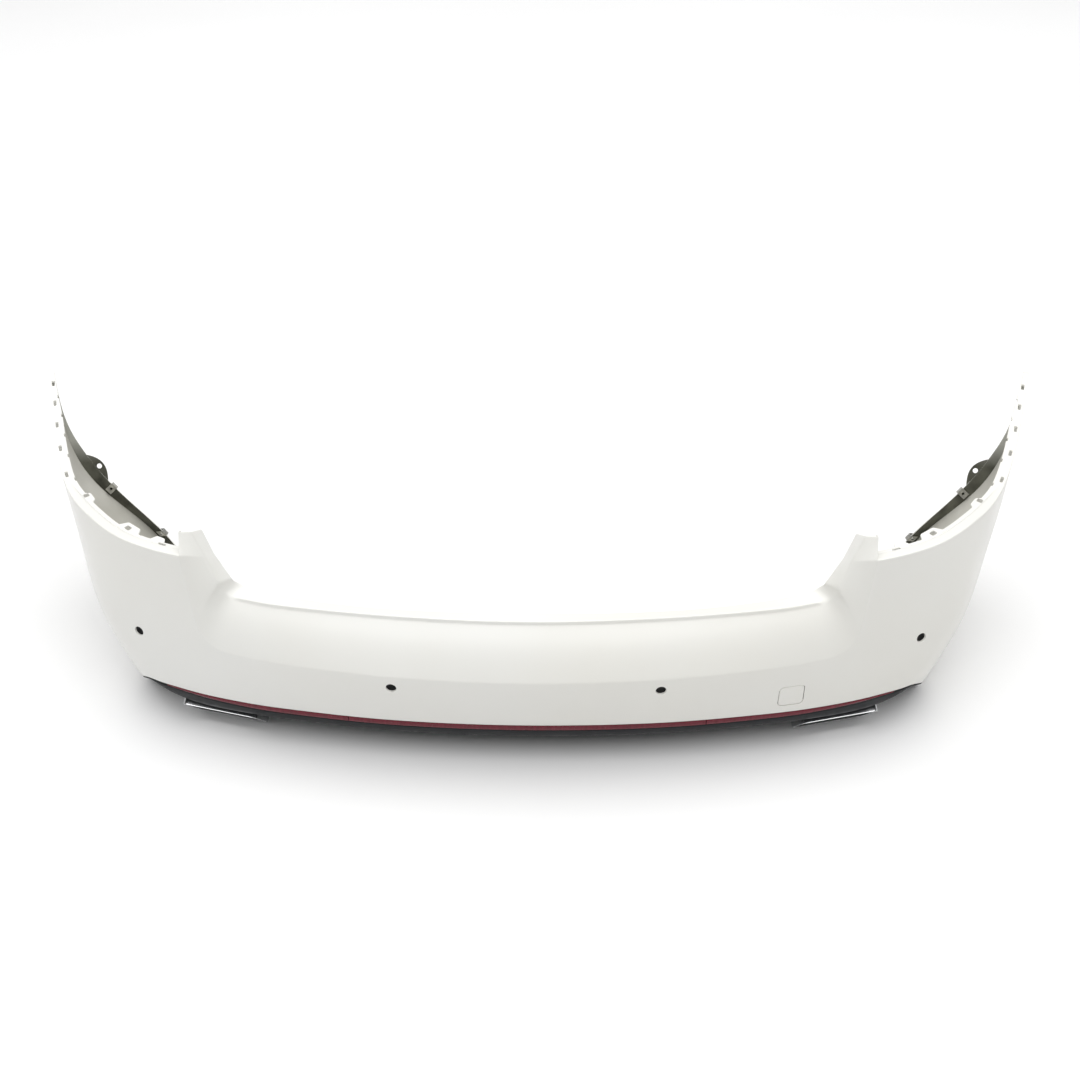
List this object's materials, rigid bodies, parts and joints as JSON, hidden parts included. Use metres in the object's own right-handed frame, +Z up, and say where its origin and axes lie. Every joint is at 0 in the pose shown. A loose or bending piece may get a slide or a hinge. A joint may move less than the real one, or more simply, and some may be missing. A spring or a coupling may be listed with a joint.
{
  "type": "bumper cover",
  "caption": "Rear bumper cover for a saloon car: painted skin with lamp ears and side wings, dark red trim strip, black lower valance with raked exhaust openings.",
  "frame": {"origin": "centre of the overall box in plan, on the plane the bumper stands on", "axes": "+X along the bumper to the car's right-hand side, +Y forward into the car, +Z up; the painted rear face looks along -Y"},
  "size_m": [1.7776, 0.6168, 0.3739],
  "materials": {
    "paint": "cream-white colour coat under a clear coat on moulded plastic",
    "strip": "dark red glossy lens strip",
    "black": "satin black moulded plastic with fine grain",
    "chrome": "bright plated rim",
    "liner": "plain black moulded plastic",
    "holder": "dark grey moulded plastic",
    "steel": "zinc-plated spring steel"
  },
  "bodies": {
    "bumper": {"bumper_skin": "paint", "exhaust_liner_left": "liner", "exhaust_liner_right": "liner", "exhaust_trim_left": "chrome", "exhaust_trim_right": "chrome", "lower_valance": "black", "push_nut_1_left": "steel", "push_nut_1_right": "steel", "push_nut_2_left": "steel", "push_nut_2_right": "steel", "push_nut_3_left": "steel", "push_nut_3_right": "steel", "push_nut_4_left": "steel", "push_nut_4_right": "steel", "reflector_centre": "strip", "reflector_left": "strip", "reflector_right": "strip", "sensor_holder_inner_left": "holder", "sensor_holder_inner_right": "holder", "sensor_holder_outer_left": "holder", "sensor_holder_outer_right": "holder", "spring_nut_lower_left": "steel", "spring_nut_lower_right": "steel", "spring_nut_upper_left": "steel", "spring_nut_upper_right": "steel", "valance_screw_1_left": "steel", "valance_screw_1_right": "steel", "valance_screw_2_left": "steel", "valance_screw_2_right": "steel"},
    "tow_eye_cover": {"tow_eye_cover": "paint"}
  },
  "joints": [
    {"name": "tow_cover_pull", "type": "slide", "parent": "bumper", "child": "tow_eye_cover", "axis": [0, -1, 0], "range_m": [0, 0.05]}
  ]
}
